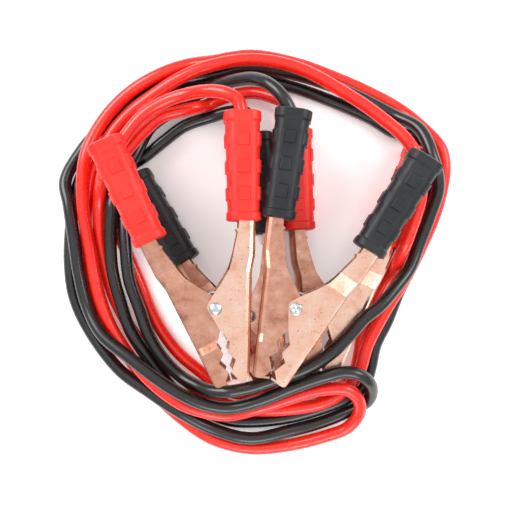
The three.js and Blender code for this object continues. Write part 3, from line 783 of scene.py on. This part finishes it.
def spring_path():
    """Helix of radius R about the rivet, with a straight tangent leg at each end."""
    leg_web = jaw_web - sheet - spring_wire / 2 - leg_gap
    tip_x = leg_web * math.cos(arm_spread) + leg_reach * math.sin(arm_spread)
    tip_y = -leg_web * math.sin(arm_spread) + leg_reach * math.cos(arm_spread)
    start = math.atan2(tip_y, tip_x) - math.acos(spring_radius / math.hypot(tip_x, tip_y))
    sweep = spring_turns * 2 * math.pi + math.pi + 2 * start
    height = spring_pitch * sweep / (2 * math.pi)
    t = np.linspace(0, 1, 31)
    angle = start - sweep * t
    x, y = spring_radius * np.cos(angle), spring_radius * np.sin(angle)
    coil = np.stack([x, y, height * (t - 0.5)], -1)
    points = np.concatenate([[(tip_x, tip_y, -height / 2)], coil, [(-tip_x, tip_y, height / 2)]])
    return smooth_path(points, spring_wire / 2)


def spring(name):
    """The wire as one tube, placed in the clamp's frame."""
    rings = tube_rings(spring_path(), spring_wire / 2, 16)
    skin = ring_skin(to_world(clamp_matrix(name), rings))
    obj = link_mesh(f"{name}_spring_wire", *skin, zinc, 60)
    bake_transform(obj)
    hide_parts(f"{name}_spring")
    return obj


for clamp in clamp_places:
    print(clamp, "spring faces", len(spring(clamp).data.polygons))

# %% [markdown]
# ## Pressed arms
# The imported arms keep their shape. Their cut edges are slightly rounded, as tumbled pressings
# are, by a Bevel modifier that finds the edges by their angle and leaves the flat faces flat. The
# arm whose flange lies under its partner's gets the darker copy of the plate, as painted shade.

# %% Arms
edge_rounding = 0.00032
for clamp, (_, _, _, _, turned) in clamp_places.items():
    for side in ("cable", "free"):
        on_top = (side == "free") == turned
        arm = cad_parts[f"{clamp}_{side}_arm"]
        arm.data.materials.clear()
        # the arm underneath gets the darker copy of the plate, which is painted shade
        arm.data.materials.append(bright_copper if on_top else shaded_copper)
        faces = arm.data.polygons
        faces.foreach_set("material_index", np.zeros(len(faces), np.int32))
        rounding = arm.modifiers.new("rounding", "BEVEL")
        rounding.width = edge_rounding
        rounding.segments = 2
        rounding.limit_method = "ANGLE"
        rounding.angle_limit = math.radians(40)
        rounding.harden_normals = True
    print(clamp, "arms rounded by", 1000 * edge_rounding, "mm")

# %% [markdown]
# ## Floor
# The photo's ground is plain white. A pale matt floor just under the part takes its soft shadow.

# %% Floor
floor_finish = bpy.data.materials.new("floor_finish")
floor_finish.use_nodes = True
floor_shader = floor_finish.node_tree.nodes["Principled BSDF"]
floor_shader.inputs["Base Color"].default_value = (0.94, 0.94, 0.94, 1)
floor_shader.inputs["Roughness"].default_value = 0.9
floor_shader.inputs["Emission Color"].default_value = (1, 1, 1, 1)
floor_shader.inputs["Emission Strength"].default_value = 0.22
floor_reach, floor_level = 3.0, -0.0003
floor_corners = np.array([(-1, -1, 0), (1, -1, 0), (1, 1, 0), (-1, 1, 0)]) * floor_reach
floor = link_mesh("floor", floor_corners + [0, 0, floor_level], [(0, 1, 2, 3)], floor_finish)
print("floor", 2 * floor_reach, "m wide")

# %% [markdown]
# ## Light
# Three square lights stand round the part and look at its middle. A dome that is bright
# overhead gives the flat copper something pale to reflect.

# %% Soft lights
def soft_light(name, place, size, power):
    """A square area light that looks at the coil's middle."""
    data = bpy.data.lights.new(name, "AREA")
    data.shape = "SQUARE"
    data.size = size
    data.energy = power
    light = bpy.data.objects.new(name, data)
    light.location = place
    light.rotation_euler = (-Vector(place)).to_track_quat("-Z", "Y").to_euler()
    bpy.context.scene.collection.objects.link(light)


soft_light("upper_left", (-0.75, 0.6, 0.85), size=0.7, power=10)
soft_light("upper_right", (0.85, 0.35, 0.8), size=0.6, power=6)
soft_light("near", (0.1, -0.9, 0.75), size=0.6, power=5)
print("lights", len(bpy.data.lights))

# %% [markdown]
# The dome's brightness depends only on how far up a direction looks, so it is a ramp over the
# upward part of that direction. Each stop is a place on the ramp and its grey.

# %% Dome
world = bpy.data.worlds.new("surroundings")
world.use_nodes = True
world_nodes, world_links = world.node_tree.nodes, world.node_tree.links
direction = world_nodes.new("ShaderNodeTexCoord")
split = world_nodes.new("ShaderNodeSeparateXYZ")
dome = world_nodes.new("ShaderNodeValToRGB")
horizon, overhead = (0.15, 0.5), (0.95, 0.95)
for element, (place, tone) in zip(dome.color_ramp.elements, (horizon, overhead)):
    element.position = place
    element.color = (tone, tone, tone, 1)
world_links.new(direction.outputs["Generated"], split.inputs["Vector"])
world_links.new(split.outputs["Z"], dome.inputs["Fac"])
world_links.new(dome.outputs["Color"], world_nodes["Background"].inputs["Color"])
bpy.context.scene.world = world
bpy.context.scene.view_settings.view_transform = "Standard"
print("dome", world.name)
